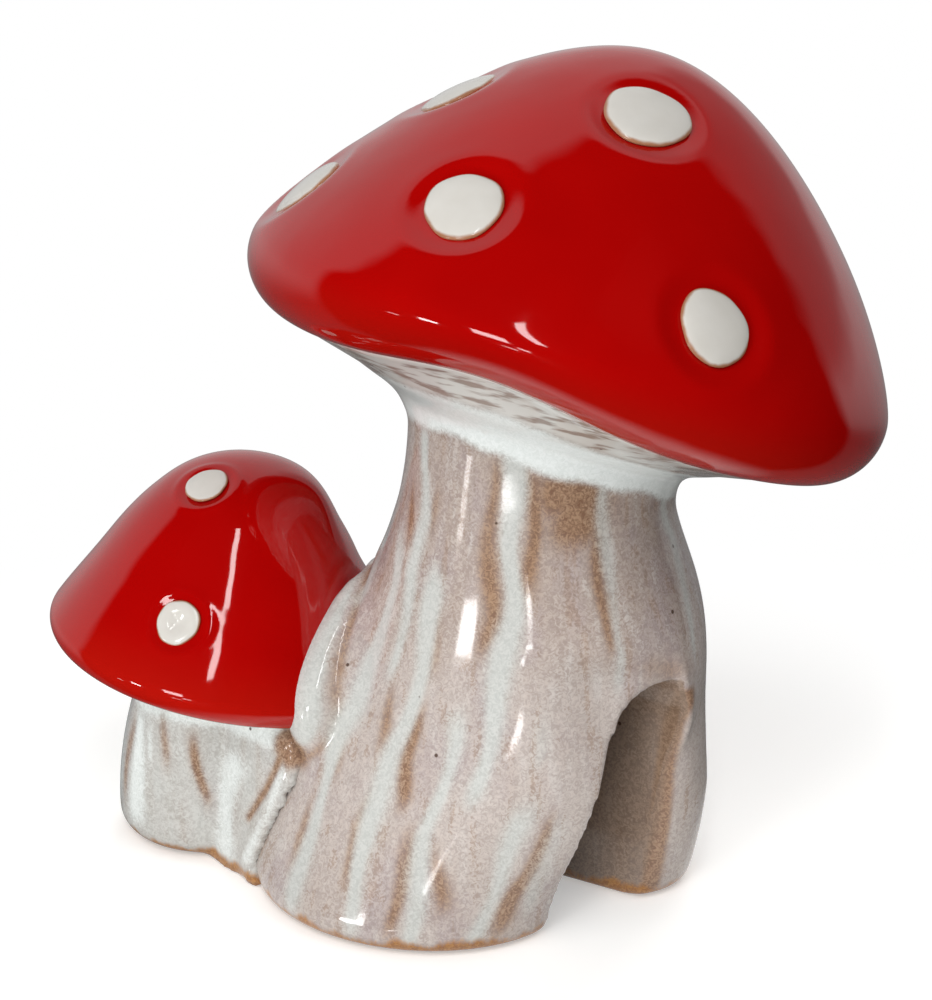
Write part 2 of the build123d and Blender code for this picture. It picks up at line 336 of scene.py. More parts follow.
move_points(large_cap, large_slump(points_of(large_cap)[0]))
LARGE_SEATS = moved_seats(LARGE_SEATS, large_slump)
press_dishes(large_cap, LARGE_SEATS, dot_radius=4.6, depth=0.55, reach=2.6, swell=0.05)

# %% [markdown]
# The small cap is turned the same way. Its crown is drawn in to a blunter cone, and its far right
# flank was pressed flatter when the two mushrooms were set together.

# %% Turn the small cap and let it slump
FLANK_PRESS = 2.3
FLANK_TURN = 60
FLANK_SPREAD = 40
CONE_DRAW = 0.04
LEAST_RADIUS = 0.01


def small_slump(places):
    """Press the far right flank of the small crown, and draw the crown in to a blunter cone."""
    seen = on_plane(places, SMALL_RIM)
    level = seen[:, 2]
    radius = np.maximum(np.hypot(seen[:, 0], seen[:, 1]), LEAST_RADIUS)
    turn = np.degrees(np.arctan2(seen[:, 1], seen[:, 0]))
    pressed = FLANK_PRESS * bell(turn - FLANK_TURN, FLANK_SPREAD)
    pressed *= between(8, 16, 19, 24.2, level) * ease(1, 5, radius)
    seen[:, :2] *= (1 - pressed / radius)[:, None]
    seen[:, :2] *= (1 - CONE_DRAW * between(2, 12, 18, 24, level))[:, None]
    return off_plane(seen, SMALL_RIM)


small_cap = turned_cap(
    "small_toadstool_cap",
    SMALL_RIM,
    radius=20.5,
    height=24.2,
    lip=2.4,
    flank_angle=23,
    crown_reach=11.3,
    flank_reach=11.2,
)
move_points(small_cap, small_slump(points_of(small_cap)[0]))
SMALL_SEATS = moved_seats(SMALL_SEATS, small_slump)
press_dishes(small_cap, SMALL_SEATS, dot_radius=2.5, depth=0.3, reach=1.1, swell=0.1)

# %% [markdown]
# The small cap was trimmed to sit against the large stem, so a bisect cuts away the part that
# would reach inside, and fills the cut.

# %% Trim the small cap
TRIM_PLACE = Vector((-13.7, -4.9, 21.9)) * MM
TRIM_FACING = (0.873, 0.328, -0.361)
pick(small_cap)
bpy.ops.object.mode_set(mode="EDIT")
bpy.ops.mesh.select_all(action="SELECT")
bpy.ops.mesh.bisect(plane_co=TRIM_PLACE, plane_no=TRIM_FACING, use_fill=True, clear_outer=True)
bpy.ops.object.mode_set(mode="OBJECT")
print("small cap:", len(small_cap.data.vertices), "vertices")

# %% [markdown]
# ## Dots
# A dot is a pellet of white clay pressed flat: a low lens with a rounded edge, and never quite
# round. One lens is shaped from a sphere, squashed and cut off below. Each dot is a copy of its
# own, scaled to its cap, turned to its seat and pulled a little out of round.

# %% Shape one lens
LENS_HEIGHT = 0.2
LENS_CUT = (0, 0, -0.6 * LENS_HEIGHT)
bpy.ops.object.select_all(action="DESELECT")
bpy.ops.mesh.primitive_uv_sphere_add(segments=64, ring_count=40, radius=1)
lens = bpy.context.object
bpy.ops.object.mode_set(mode="EDIT")
bpy.ops.mesh.select_all(action="SELECT")
bpy.ops.transform.resize(value=(1, 1, LENS_HEIGHT))
bpy.ops.mesh.bisect(plane_co=LENS_CUT, plane_no=(0, 0, -1), use_fill=True, clear_outer=True)
bpy.ops.object.mode_set(mode="OBJECT")
lens_places = points_of(lens)[0] * MM
lens_edge = np.hypot(lens_places[:, 0], lens_places[:, 1])
print("lens:", len(lens.data.polygons), "faces")

# %% [markdown]
# Each copy is turned from the lens's own axis to the way its seat faces. The lower dot in front on
# the small cap was pressed with a fingertip, which left a dimple in its middle.

# %% Set the dots
DIMPLE = 0.24
DIMPLE_SPREAD = 0.45
DIMPLED_DOT = 2
OUT_OF_ROUND = (
    # Waves round the edge, their height, and how far they turn from dot to dot
    (2, 0.035, 1.7),
    (3, 0.025, 2.9),
    (7, 0.008, 0.8),
)


def set_dot(name, seat, radius, sink, number, dimple=0.0):
    """Copy the lens into a seat, a little out of round."""
    middle, facing = seat
    piece = bpy.data.objects.new(name, lens.data.copy())
    bpy.context.collection.objects.link(piece)
    angle = np.arctan2(lens_places[:, 1], lens_places[:, 0])
    squeeze = np.ones(len(angle))
    for waves, height, turn in OUT_OF_ROUND:
        squeeze += height * np.sin(waves * angle + turn * number)
    places = lens_places * radius
    places[:, :2] *= squeeze[:, None]
    pressed = dimple * radius * bell(lens_edge, DIMPLE_SPREAD)
    places[:, 2] -= pressed * (lens_places[:, 2] > 0)
    to_seat = np.array(Vector(facing).to_track_quat("Z", "Y").to_matrix())
    move_points(piece, places @ to_seat.T + middle - facing * sink)
    paint(piece, "edge", lens_edge)
    return piece


LARGE_DOT_RADII = (4.7, 4.35, 4.15, 4.5, 4.5, 4.4, 4.6, 4.3, 4.5)
LARGE_DOT_SINKS = (0.5, 0.5, 0.5, 0.85, 0.85, 0.6, 0.5, 0.6, 0.5)
SMALL_DOT_RADIUS = 2.5
SMALL_DOT_SINK = 0.18
SMALL_DOTS_FROM = 20
dots = {}
large_fits = zip(LARGE_SEATS, LARGE_DOT_RADII, LARGE_DOT_SINKS)
for number, (seat, radius, sink) in enumerate(large_fits, start=1):
    dots[f"large_cap_dot_{number}"] = set_dot(f"large_dot_{number}", seat, radius, sink, number)
for number, seat in enumerate(SMALL_SEATS, start=1):
    dots[f"small_cap_dot_{number}"] = set_dot(
        f"small_dot_{number}",
        seat,
        SMALL_DOT_RADIUS,
        SMALL_DOT_SINK,
        number + SMALL_DOTS_FROM,
        DIMPLE if number == DIMPLED_DOT else 0.0,
    )
bpy.data.objects.remove(lens)
print("dots:", len(dots))

# %% [markdown]
# ## Stems
# The stems are soft, hand-worked forms, so each starts as a copy of its solid. The copy is merged,
# then remeshed to even cells and smoothed, which rounds every cut edge as wet clay and thick glaze
# do.

# %% Copy the stems
SMOOTHING = 0.5
CAST_MERGE_GAP = 0.005


def cast_copy(name, node, cell, rounds=12):
    """Merged, remeshed and smoothed copy of a node."""
    piece = bpy.data.objects.new(name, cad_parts[node].data.copy())
    bpy.context.collection.objects.link(piece)
    pick(piece)
    bpy.ops.object.mode_set(mode="EDIT")
    bpy.ops.mesh.select_all(action="SELECT")
    bpy.ops.mesh.remove_doubles(threshold=CAST_MERGE_GAP * MM)
    bpy.ops.object.mode_set(mode="OBJECT")
    shape_by(piece, "REMESH", mode="VOXEL", voxel_size=cell * MM)
    shape_by(piece, "SMOOTH", factor=SMOOTHING, iterations=rounds)
    return piece


large_stem = cast_copy("large_toadstool_stem", "large_stem", cell=0.52)
small_stem = cast_copy("small_toadstool_stem", "small_stem", cell=0.4)
print("stems:", len(large_stem.data.polygons), "and", len(small_stem.data.polygons), "faces")

# %% [markdown]
# The stems carry shallow flutes, drawn up the clay with a tool. White glaze pools in them, and
# beside them it runs thin and breaks to tan. Each streak is a half width, a strength and a line of
# heights and turns about the stem's own leaning middle line. Those on the side that is seen follow
# the photograph, and the rest are spaced as unevenly.

# %% Streaks on the large stem
LARGE_MIDDLE = ((0, -5, -4.55), (12, -1.6, 0.15), (24, 2.3, 4.65), (38, 4.2, 6.45), (53, 4.3, 9.05))
LARGE_WHITE = (
    (1.1, 1.0, ((43, -129), (32, -123), (21, -122), (14, -120), (2, -113))),
    (1.0, 0.9, ((57, -119), (46, -113), (40, -116), (35, -114), (29, -112))),
    (1.2, 1.0, ((41, -104), (30, -99), (20, -98), (14, -96), (7, -89), (2, -85))),
    (1.2, 1.0, ((57, -74), (45, -71), (40, -68), (31, -67), (24, -66), (18, -62))),
    (1.0, 0.9, ((27, -79), (19, -75), (14, -73), (8, -67), (1, -60))),
    (0.8, 0.6, ((55, -37), (45, -34), (38, -29), (33, -26), (29, -25))),
    (0.9, 0.8, ((54, -8), (43, 8), (37, 5), (31, 5))),
    (1.2, 0.8, ((18, -45), (10, -41), (7, -40), (1, -38))),
    (1.2, 0.5, ((17, -34), (10, -27), (4, -22))),
    (1.0, 0.4, ((28, -51), (22, -49))),
    (0.9, 0.9, ((50, 34), (36, 38), (20, 42), (4, 45))),
    (1.2, 1.0, ((55, 66), (40, 64), (22, 70), (3, 74))),
    (1.0, 0.7, ((40, 93), (25, 95), (8, 99))),
    (1.2, 1.0, ((55, 121), (40, 118), (24, 124), (3, 121))),
    (0.9, 0.8, ((34, 146), (20, 148), (4, 142))),
    (1.1, 1.0, ((54, 168), (40, 172), (28, 170))),
    (1.0, 0.9, ((55, 206), (42, 209), (32, 214))),
)
LARGE_TAN = (
    (0.7, 0.6, ((13, -125), (7, -121))),
    (0.7, 0.7, ((27, -108), (22, -105))),
    (0.8, 1.0, ((26, -94), (21, -92), (17, -87))),
    (0.9, 0.7, ((14, -78), (6, -71), (3, -70))),
    (0.8, 0.7, ((12, -66), (6, -56))),
    (0.9, 1.0, ((16, -36), (10, -31), (6, -32), (3, -31))),
    (0.9, 0.8, ((55, -80), (48, -80), (42, -79), (37, -75), (34, -76))),
    (1.0, 0.9, ((55, -66), (47, -63), (41, -62))),
    (2.0, 1.0, ((56, -55), (49, -54))),
    (2.4, 1.0, ((56, -46), (46, -45))),
    (0.7, 0.8, ((51, -38), (44, -37), (38, -33), (34, -31))),
    (0.7, 0.8, ((48, -124), (43, -122))),
    (0.8, 0.6, ((49, -107), (45, -107))),
    (0.7, 0.6, ((37, -99), (30, -95))),
    (2.5, 0.6, ((32, -14), (30, -6))),
    (0.7, 0.8, ((51, -10), (48, -5))),
    (0.7, 0.6, ((17, -100), (12, -98), (7, -95))),
    (0.7, 0.6, ((23, -121), (17, -119))),
    (0.9, 0.9, ((53, 58), (38, 57), (30, 60))),
    (0.8, 0.8, ((18, 66), (6, 68))),
    (0.9, 0.8, ((50, 128), (36, 126))),
    (0.8, 0.9, ((20, 114), (4, 113))),
    (0.9, 0.8, ((52, 176), (38, 179))),
    (0.8, 0.8, ((50, 200), (38, 202))),
)
print("streaks on the large stem:", len(LARGE_WHITE), "white and", len(LARGE_TAN), "tan")

# %% [markdown]
# The small stem stands upright. It has fewer streaks, spaced as unevenly.

# %% Streaks on the small stem
SMALL_MIDDLE = ((0, -33.4, -2.95), (19, -33.4, -2.95))
SMALL_WHITE = (
    (1.6, 1.0, ((17, -112), (3, -109))),
    (0.8, 0.8, ((17, -99), (11, -96))),
    (1.2, 1.0, ((15, -42), (7, -46), (1, -50))),
    (1.0, 0.5, ((17, -76), (12, -75))),
    (1.2, 0.9, ((17, -138), (4, -140))),
    (1.2, 1.0, ((17, -172), (4, -168))),
    (1.1, 0.9, ((17, 158), (4, 150))),
    (1.2, 1.0, ((17, 118), (4, 112))),
    (1.1, 0.9, ((17, 76), (4, 80))),
    (1.2, 1.0, ((17, 40), (4, 44))),
)
SMALL_TAN = (
    (0.8, 0.7, ((17, -86), (12, -85))),
    (0.8, 1.0, ((15.5, -65), (11.5, -62), (8, -58))),
    (0.8, 0.7, ((15, -122), (6, -124))),
    (0.8, 0.8, ((15, 172), (6, 168))),
    (0.8, 0.8, ((15, 134), (5, 131))),
    (0.8, 0.8, ((15, 96), (5, 97))),
    (0.8, 0.8, ((15, 58), (5, 61))),
)
print("streaks on the small stem:", len(SMALL_WHITE), "white and", len(SMALL_TAN), "tan")

# %% [markdown]
# A streak fades out at its sides and ends. It sways on its way up and its width swings, so that no
# two run alike.

# %% Measure the streaks
SWAY = 0.25
SWAY_WAVE = 0.45
WIDTH = 1.15
WIDTH_SWING = 0.3
WIDTH_WAVE = 0.31


def streak_share(places, middle, streaks):
    """How far each point lies in a streak, from 0 to 1."""
    heights, xs, ys = np.array(middle).T
    level = places[:, 2]
    across = places[:, 0] - np.interp(level, heights, xs)
    along = places[:, 1] - np.interp(level, heights, ys)
    radius = np.hypot(across, along)
    turn = np.degrees(np.arctan2(along, across))
    share = np.zeros(len(places))
    for number, (half_width, strength, line) in enumerate(streaks):
        steps, turns = np.array(sorted(line)).T
        gap = (turn - np.interp(level, steps, turns) + 180) % 360 - 180
        sway = SWAY * np.sin(SWAY_WAVE * level + 2.1 * number)
        swing = WIDTH_SWING * np.sin(WIDTH_WAVE * level + 1.3 * number)
        away = np.radians(gap) * radius + sway
        low, high = steps[0], steps[-1]
        ends = between(low - 3, low + 2, high - 3, high + 3, level)
        share = np.maximum(share, strength * ends * bell(away, half_width * (WIDTH + swing)))
    return share


print("streaks sway by up to", SWAY, "mm")

# %% [markdown]
# Seams, rolls of slip and worn edges run along lines over the clay, so one helper measures how far
# each point lies from such a line, and one smooths a piece in chosen places only.

# %% Lines and soft places
def line_gap(places, line):
    """Distance from each place to a line through some points, in millimetres."""
    corners = np.array(line, float)
    gap = np.full(len(places), np.inf)
    for start, end in zip(corners[:-1], corners[1:]):
        run = end - start
        share = np.clip((places - start) @ run / (run @ run), 0, 1)
        gap = np.minimum(gap, np.linalg.norm(places - start - share[:, None] * run, axis=1))
    return gap


FAR = 8.0


def gap_to(piece, places):
    """Distance from each place to the nearest vertex of a piece, in millimetres, up to FAR."""
    corners = points_of(piece)[0]
    tree = KDTree(len(corners))
    for index, corner in enumerate(corners):
        tree.insert(corner, index)
    tree.balance()
    close = ((places > corners.min(0) - FAR) & (places < corners.max(0) + FAR)).all(1)
    gap = np.full(len(places), FAR)
    gap[close] = [min(FAR, tree.find(place)[2]) for place in places[close]]
    return gap


LEAST_SHARE = 0.02


def soften(piece, shares, rounds):
    """Smooth a piece, each point by its own share."""
    chosen = np.flatnonzero(shares > LEAST_SHARE)
    group = piece.vertex_groups.new(name="soft")
    for index in chosen:
        group.add([int(index)], float(shares[index]), "REPLACE")
    shape_by(piece, "SMOOTH", factor=SMOOTHING, iterations=rounds, vertex_group=group.name)
    piece.vertex_groups.clear()
    print(piece.name, "softened in", len(chosen), "points")


print("gaps between pieces are measured up to", FAR, "mm")

# %% [markdown]
# The large stem's head rises with the lifted lip, the haunch of its arch leans back a little, and
# a thumb has left a shallow dent in front. The lump of slip that carries the small cap is wiped
# down to a slim roll along the cap's edge, with a groove beside it, as a finger leaves it. Behind,
# the seam over the rear leg is sponged away.

# %% Shape the large stem
ARCH_LEAN = 3.0
DENT = 0.35
DENT_PLACE = np.array((5.8, -10.2, 34.5))
DENT_SPREAD = np.array((10.0, 12.0, 12.0))
LOBE_LINE = ((-12.8, -10.4, 16.5), (-12.8, -10.6, 22), (-12.8, -5.8, 30), (-12.8, -1, 35))

places = large_slump(points_of(large_stem)[0], inner=17, outer=28, lean=np.zeros(3))
x, y, z = places.T
haunch = between(14, 27, 29, 35, z) * between(-10, -6, 0, 5.5, y) * ease(4, 12, x)
places[:, 1] += ARCH_LEAN * haunch
move_points(large_stem, places)
shape_by(large_stem, "SMOOTH", factor=SMOOTHING, iterations=8)
places, normals = points_of(large_stem)
dent = DENT * bell(places - DENT_PLACE, DENT_SPREAD).prod(axis=1) * (normals[:, 1] < 0)
places -= normals * dent[:, None]
move_points(large_stem, places)
lump = 1 - ease(5.5, 8, line_gap(places, LOBE_LINE))
soften(large_stem, lump * ease(1.0, 2.4, gap_to(small_cap, places)), rounds=150)
places, normals = points_of(large_stem)
y, z = places[:, 1:].T
rear_seam = between(12, 18, 28, 38, z) * ease(4, 9, y) * ease(-0.3, 0.2, normals[:, 1])
soften(large_stem, rear_seam, rounds=300)

# %% [markdown]
# The flutes are then pressed in. White glaze gathers in a thick band under the cap, whose lower
# edge runs down a little here and there, and on the roll of slip, so both stand proud.

# %% Flutes, band and roll of the large stem
FLUTE_DEPTH = 0.07
BAND_SWELL = 0.18
ROLL_SWELL = 0.35
GROOVE_GAP = 3.2
GROOVE_WIDTH = 0.6
JOINT_SPOT = np.array((-15.5, -12.3, 17.9))


def on_flank(normals):
    """1 where a surface is upright, and 0 where it is level."""
    return 1 - ease(0.5, 0.9, np.abs(normals[:, 2]))


places, normals = points_of(large_stem)
z = places[:, 2]
seen = on_plane(places, LARGE_RIM)
about = np.arctan2(seen[:, 1], seen[:, 0])
outside = ease(19.5, 22.5, np.hypot(seen[:, 0], seen[:, 1]))
in_slot = (1 - ease(5.6, 6.4, np.abs(places[:, 1]))) * (1 - ease(28.6, 29.6, z))
in_slot *= 1 - ease(0.3, 0.7, normals[:, 0])
flutes = streak_share(places, LARGE_MIDDLE, LARGE_WHITE) * on_flank(normals) * (1 - in_slot)
drip = 0.3 * np.sin(5 * about) + 0.15 * np.sin(13 * about + 1)
band = ease(-7.2, -4.8, seen[:, 2] + drip) * (1 - outside)
cap_gap = gap_to(small_cap, places)
beside = between(13, 16, 37, 40, z) * (1 - in_slot)
roll = beside * (1 - ease(1.6, 2.8, cap_gap))
roll_groove = beside * bell(cap_gap - GROOVE_GAP, GROOVE_WIDTH)
swell = BAND_SWELL * band + ROLL_SWELL * (roll - roll_groove) - FLUTE_DEPTH * flutes
move_points(large_stem, places + normals * swell[:, None])
from_joint = np.linalg.norm(places - JOINT_SPOT, axis=1)
soften(large_stem, 1 - ease(2.5, 6, from_joint), rounds=40)

# %% [markdown]
# The glaze is thin on the edge of the rear leg, where the clay shows brown, and the lower half is
# paler than the upper one. Inside the slot the clay is painted dark brown, partly its own colour
# and partly painted shade. Under the cap white is brushed on in front only, and behind, the head
# is painted dark brown as painted shade. Each of these is kept as a number for every vertex, which
# the glaze reads later.

# %% Glaze the large stem
FRONT_SPREAD = 70
LEG_EDGE = ((19.6, 6.4, 2), (20.6, 6.0, 9), (21.2, 5.9, 17), (22.3, 5.8, 23), (24.4, 5.1, 27))

leg_edge = (1 - ease(0.4, 1.9, line_gap(places, LEG_EDGE))) * (1 - ease(27, 29, z))
joint = 1 - ease(1.4, 3.8, from_joint)
tan = streak_share(places, LARGE_MIDDLE, LARGE_TAN) * (1 - band) * (1 - in_slot)
under = ease(-6, -4, seen[:, 2]) * outside
in_front = bell(np.degrees(about) - LIFT_TURN, FRONT_SPREAD)
pooled = np.maximum.reduce([flutes, band, 0.9 * roll])
paint(large_stem, "pooled", pooled * (1 - 0.9 * joint))
paint(large_stem, "band", band)
paint(large_stem, "tan", np.maximum.reduce([tan, 0.6 * roll_groove, leg_edge, joint]))
# Painted shade: no pale wash in the slot; slot and back of the head under the cap go dark brown.
paint(large_stem, "pale", (0.6 + 0.4 * ease(4, 20, z)) * (1 - ease(24, 40, z)) * (1 - in_slot))
paint(large_stem, "bare_clay_and_painted_shade", np.maximum(in_slot, 0.9 * under * (1 - in_front)))
paint(large_stem, "brushed", under * in_front)
print("large stem glazed:", len(large_stem.data.polygons), "faces")

# %% [markdown]
# Slip fills the joint between the two stems. Where the small stem comes near the large one its
# surface is pushed out a little, which closes the crease that smoothing opens there. A tool mark
# runs down the web beside a white ridge.

# %% Glaze the small stem
LUTING = 0.8
MARK_DEPTH = 0.4
MARK_WIDTH = 0.6
RIDGE_HEIGHT = 0.22
RIDGE_WIDTH = 0.9
LEAST_POOLED = 0.65
TOOL_MARK = ((-17, -12.5, 16.2), (-19, -12.6, 11.7), (-21.6, -12.4, 7.5))
WEB_RIDGE = ((-15.9, -13, 16.7), (-18.5, -13.4, 8.8), (-21.3, -13.4, 3))

places, normals = points_of(small_stem)
z = places[:, 2]
flutes = streak_share(places, SMALL_MIDDLE, SMALL_WHITE) * on_flank(normals)
mark = bell(line_gap(places, TOOL_MARK), MARK_WIDTH)
ridge = bell(line_gap(places, WEB_RIDGE), RIDGE_WIDTH)
near_large = 1 - ease(0.4, 2.6, gap_to(large_stem, places))
luting = LUTING * near_large * ease(-0.6, -0.2, normals[:, 2])
swell = luting - FLUTE_DEPTH * flutes - MARK_DEPTH * mark + RIDGE_HEIGHT * ridge
move_points(small_stem, places + normals * swell[:, None])
from_joint = np.linalg.norm(places - JOINT_SPOT, axis=1)
soften(small_stem, 1 - ease(2, 4.5, from_joint), rounds=40)

joint = 1 - ease(1.4, 3.8, from_joint)
tan = streak_share(places, SMALL_MIDDLE, SMALL_TAN) * on_flank(normals)
top = ease(15, 18, z)
white = np.maximum.reduce([flutes, top, ridge])
worn = np.maximum.reduce([tan, joint, mark])
paint(small_stem, "pooled", np.maximum(white, LEAST_POOLED) * (1 - 0.9 * worn))
paint(small_stem, "band", np.maximum(0.6 * top, 0.75 * white) * (1 - worn))
paint(small_stem, "tan", worn)
paint(small_stem, "pale", np.ones(len(places)))
for name in ("bare_clay_and_painted_shade", "brushed"):
    paint(small_stem, name, np.zeros(len(places)))
print("small stem glazed:", len(small_stem.data.polygons), "faces")

# %% [markdown]
# ## Finishes
# All three finishes are fired glazes: glass about a third of a millimetre thick. They share a
# glass index of 1.5 and a low roughness, and differ in what lies in the glass. One helper adds a
# node with its settings and links, and one turns the colours, written as they look on a screen,
# into linear light.

# %% Helpers for finishes
def colour(code):
    """Linear colour from a screen hex code."""
    shares = [int(code[i : i + 2], 16) / 255 for i in (1, 3, 5)]
    return [s / 12.92 if s <= 0.04045 else ((s + 0.055) / 1.055) ** 2.4 for s in shares] + [1]


def add_node(tree, kind, inputs, **settings):
    """Add a node, then set each input to a value or link it to another node's output."""
    node = tree.nodes.new(kind)
    for name, value in settings.items():
        setattr(node, name, value)
    for key, value in inputs.items():
        if isinstance(value, bpy.types.NodeSocket):
            tree.links.new(value, node.inputs[key])
        else:
            node.inputs[key].default_value = value
    return node


GLASS_INDEX = 1.5
PER_METRE = 1 / MM


def new_finish(name, roughness):
    """Material, its tree and its glass shader."""
    finish = bpy.data.materials.new(name)
    finish.use_nodes = True
    shader = finish.node_tree.nodes["Principled BSDF"]
    shader.inputs["IOR"].default_value = GLASS_INDEX
    shader.inputs["Roughness"].default_value = roughness
    return finish, finish.node_tree, shader


print("middle grey in linear light:", round(colour("#808080")[0], 3))

# %% [markdown]
# ### Red cap glaze
# A selenium red is a clear, strongly coloured glass. The eye sees one deep red with sharp
# reflections and a shade darker where the glaze ran thick. Along the lip it turns more orange,
# which is painted bounce light from the table below.

# %% Red glaze
RED_BODY = "#ac0604"
# The lip's orange is painted bounce light from the table below.
RED_THICK = "#9c0202"
RED_PAINTED_BOUNCE = "#aa130a"
THICK_PATCH = 14
PAINTED_BOUNCE_HEIGHT = 9
RIPPLE_WIDTH = 6
RIPPLE_DEPTH = 0.35
RIPPLE_STRENGTH = 0.25


def red_glaze(name, rim):
    """Red glaze for one cap, with painted bounce light in orange along its own lip."""
    finish, tree, shader = new_finish(name, roughness=0.05)
    place = add_node(tree, "ShaderNodeTexCoord", {}).outputs["Object"]
    inputs = {"Vector": place, "Scale": PER_METRE / THICK_PATCH, "Detail": 2}
    thick = add_node(tree, "ShaderNodeTexNoise", inputs).outputs[0]
    inputs = {0: thick, 6: colour(RED_BODY), 7: colour(RED_THICK)}
    body = add_node(tree, "ShaderNodeMix", inputs, data_type="RGBA").outputs[2]
    inputs = {0: place, 1: rim.translation * MM}
    from_rim = add_node(tree, "ShaderNodeVectorMath", inputs, operation="SUBTRACT").outputs[0]
    inputs = {0: from_rim, 1: rim.to_3x3().col[2]}
    level = add_node(tree, "ShaderNodeVectorMath", inputs, operation="DOT_PRODUCT").outputs["Value"]
    # Painted bounce light: the glaze turns more orange towards the rim, up to a set height.
    inputs = {"Value": level, "From Max": PAINTED_BOUNCE_HEIGHT * MM, "To Min": 1.0, "To Max": 0.0}
    lip = add_node(tree, "ShaderNodeMapRange", inputs, interpolation_type="SMOOTHSTEP").outputs[0]
    inputs = {0: lip, 6: body, 7: colour(RED_PAINTED_BOUNCE)}
    tint = add_node(tree, "ShaderNodeMix", inputs, data_type="RGBA").outputs[2]
    inputs = {"Vector": place, "Scale": PER_METRE / RIPPLE_WIDTH, "Detail": 1}
    ripple = add_node(tree, "ShaderNodeTexNoise", inputs).outputs[0]
    inputs = {"Height": ripple, "Strength": RIPPLE_STRENGTH, "Distance": RIPPLE_DEPTH * MM}
    bump = add_node(tree, "ShaderNodeBump", inputs).outputs[0]
    tree.links.new(tint, shader.inputs["Base Color"])
    tree.links.new(bump, shader.inputs["Normal"])
    return finish


large_cap.data.materials.append(red_glaze("red_glaze_large_cap", LARGE_RIM))
small_cap.data.materials.append(red_glaze("red_glaze_small_cap", SMALL_RIM))
print("red body in linear light:", [round(share, 3) for share in colour(RED_BODY)[:3]])

# %% [markdown]
# ### White dot glaze
# An opaque tin white, warm and even. Round the edge of each pellet it is too thin to cover, and
# the clay shows as a fine broken brown line.

# %% Dot glaze
DOT_GRAIN = 2.5
EDGE_FRAY = 0.12
dot_glaze, tree, shader = new_finish("white_dot_glaze", roughness=0.12)
place = add_node(tree, "ShaderNodeTexCoord", {}).outputs["Object"]
edge = add_node(tree, "ShaderNodeAttribute", {}, attribute_name="edge").outputs["Fac"]
inputs = {"Vector": place, "Scale": PER_METRE / DOT_GRAIN, "Detail": 3}
grain = add_node(tree, "ShaderNodeTexNoise", inputs).outputs[0]
inputs = {0: grain, 1: EDGE_FRAY, 2: edge}
frayed = add_node(tree, "ShaderNodeMath", inputs, operation="MULTIPLY_ADD").outputs[0]
inputs = {"Value": frayed, "From Min": 0.97, "From Max": 1.05, "To Max": 0.9}
broken = add_node(tree, "ShaderNodeMapRange", inputs, interpolation_type="SMOOTHSTEP").outputs[0]
inputs = {0: grain, 6: colour("#d3d0ca"), 7: colour("#c9c5bd")}
white = add_node(tree, "ShaderNodeMix", inputs, data_type="RGBA").outputs[2]
inputs = {0: broken, 6: white, 7: colour("#9a6138")}
cover = add_node(tree, "ShaderNodeMix", inputs, data_type="RGBA").outputs[2]
tree.links.new(cover, shader.inputs["Base Color"])
for piece in dots.values():
    piece.data.materials.append(dot_glaze)
print("white glaze on", len(dots), "dots")

# %% [markdown]
# ### Stem glaze
# A white glaze over an iron-bearing slip. Where it is thick, in the flutes and under the caps, it
# is milky white. Where it is thin it breaks to mauve-grey with a fine curdle, and on edges to tan
# and brown. A few iron specks have burned through as dark pinholes. First come the fields that the
# layers are made from: the numbers kept on the stems, some noises of known grain size, and the
# height above the foot.

# %% Fields of the stem glaze
SPECK_GAP = 6
PINHOLE_SLOPE = 18
FOOT_LINE = 4
stem_glaze, tree, shader = new_finish("reactive_stem_glaze", roughness=0.08)
place = add_node(tree, "ShaderNodeTexCoord", {}).outputs["Object"]
NOISES = {
    # Name: grain in millimetres, stretch of the pattern, detail, distortion
    "curdle": (0.5, (1, 1, 1), 2, 1.5),
    "patch": (6.0, (1, 1, 0.5), 3, 0),
    "drift": (2.6, (1, 1, 0.18), 4, 0),
    "stroke": (1.8, (0.4, 0.9, 1.6), 3, 0),
    "smear": (1.5, (1, 1, 0.12), 3, 0),
}
field = {}
for name, (size, stretch, detail, distortion) in NOISES.items():
    inputs = {0: place, 1: stretch}
    drawn = add_node(tree, "ShaderNodeVectorMath", inputs, operation="MULTIPLY").outputs[0]
    inputs = {"Vector": drawn, "Scale": PER_METRE / size}
    inputs |= {"Detail": detail, "Distortion": distortion}
    field[name] = add_node(tree, "ShaderNodeTexNoise", inputs).outputs[0]
for name in ("pooled", "band", "tan", "pale", "bare_clay_and_painted_shade", "brushed"):
    field[name] = add_node(tree, "ShaderNodeAttribute", {}, attribute_name=name).outputs["Fac"]
height = add_node(tree, "ShaderNodeSeparateXYZ", {0: place}).outputs["Z"]
inputs = {"Vector": place, "Scale": PER_METRE / SPECK_GAP}
speck = add_node(tree, "ShaderNodeTexVoronoi", inputs).outputs["Distance"]
FALLS = {"foot": (height, PER_METRE / FOOT_LINE), "pinhole": (speck, PINHOLE_SLOPE)}
for name, (rise, slope) in FALLS.items():
    inputs = {0: rise, 1: -slope, 2: 1.0}
    field[name] = add_node(tree, "ShaderNodeMath", inputs, operation="MULTIPLY_ADD").outputs[0]
CONTRASTS = {"grain": ("curdle", 0.32, 0.68), "brush": ("stroke", 0.36, 0.54)}
for name, (noise, low, high) in CONTRASTS.items():
    inputs = {"Value": field[noise], "From Min": low, "From Max": high}
    drawn = add_node(tree, "ShaderNodeMapRange", inputs, interpolation_type="SMOOTHSTEP")
    field[name] = drawn.outputs[0]
print("stem glaze fields:", ", ".join(field))

# %% [markdown]
# The layers then go on one over the other, as they lie in the glass. Each has a field that says
# where it is, shares of the drift and the curdle that fray its edge, the range over which it comes
# in, how far it covers, and a dark and a light colour for its grain. The smears are one noise,
# pale where it is high and tan where it is low, so the second range runs backwards.

